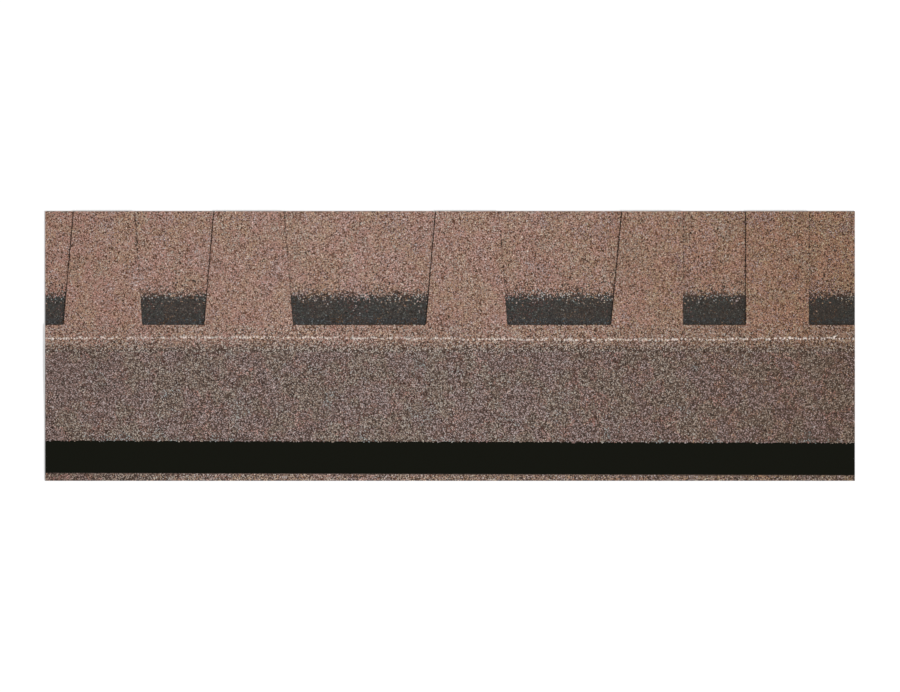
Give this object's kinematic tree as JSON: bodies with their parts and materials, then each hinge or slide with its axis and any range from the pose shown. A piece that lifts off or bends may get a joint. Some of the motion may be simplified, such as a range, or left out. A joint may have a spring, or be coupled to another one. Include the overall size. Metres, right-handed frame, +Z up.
{
  "type": "laminated asphalt shingle",
  "caption": "Laminated asphalt roofing shingle: a granule-faced toothed sheet glued on a backing strip, with a black release film near its head edge.",
  "frame": {"origin": "on the floor, under the middle of the shingle's outline", "axes": "+X along the length, +Y towards the butt edge that shows on the roof, +Z up, out of the granule face"},
  "size_m": [1, 0.333, 0.0052],
  "materials": {
    "toothed_face": "matte",
    "backing_face": "matte",
    "release_film": "satin"
  },
  "bodies": {
    "root": {"toothed_layer": "toothed_face", "backing_layer": "backing_face", "release_strip": "release_film"}
  },
  "joints": []
}
